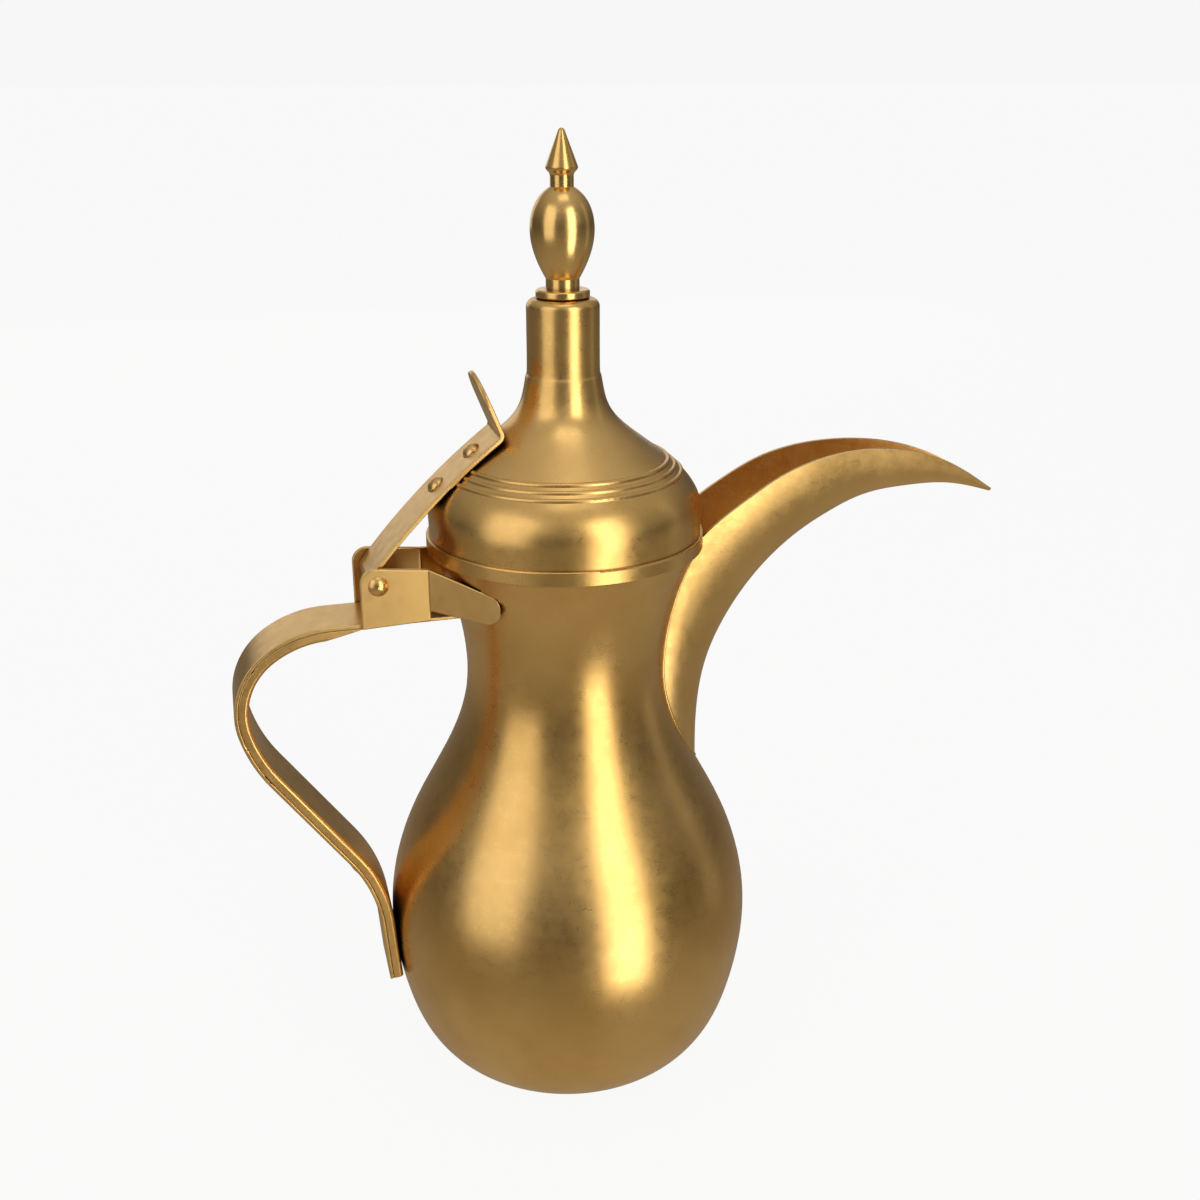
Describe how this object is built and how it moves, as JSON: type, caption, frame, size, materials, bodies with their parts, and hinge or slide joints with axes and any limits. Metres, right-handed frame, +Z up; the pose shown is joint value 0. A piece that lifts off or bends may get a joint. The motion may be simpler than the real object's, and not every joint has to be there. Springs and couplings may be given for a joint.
{
  "type": "dallah coffee pot",
  "caption": "Waisted brass coffee pot with an open crescent spout, bowed strap handle and a domed lid hinged above the handle, topped by a spear finial.",
  "frame": {"origin": "centre of the flat underside of the base plate, on the pot's axis", "axes": "+Z up along the pot's axis, +X towards the spout's tip with the handle at -X, hinge pin along Y"},
  "size_m": [0.2469, 0.117, 0.3],
  "materials": {
    "spun_brass": "satin, spun and lightly brushed",
    "sheet_brass": "satin, hand-worked sheet",
    "bar_brass": "satin, rounded bar",
    "turned_brass": "turned and polished",
    "pin_brass": "hammered rivet heads and turned fixings"
  },
  "bodies": {
    "pot": {"body_shell": "spun_brass", "base_plate": "spun_brass", "rim_band": "spun_brass", "spout": "sheet_brass", "handle_strap": "sheet_brass", "handle_core": "bar_brass", "hinge_bracket_near": "sheet_brass", "hinge_bracket_far": "sheet_brass", "hinge_pin": "pin_brass"},
    "lid": {"lid_shell": "spun_brass", "lid_skirt": "spun_brass", "lid_strap": "sheet_brass", "finial_collar": "turned_brass", "finial_bulb": "turned_brass", "finial_spear": "turned_brass", "finial_stud": "pin_brass", "finial_washer": "pin_brass", "finial_nut": "pin_brass", "strap_rivet_rear": "pin_brass", "strap_rivet_front": "pin_brass", "rivet_burr_rear": "pin_brass", "rivet_burr_front": "pin_brass"}
  },
  "joints": [
    {"name": "lid_hinge", "type": "hinge", "parent": "pot", "child": "lid", "pos_m": [-0.0587, 0, 0.1736], "axis": [0, -1, 0], "range_deg": [0, 100]}
  ]
}
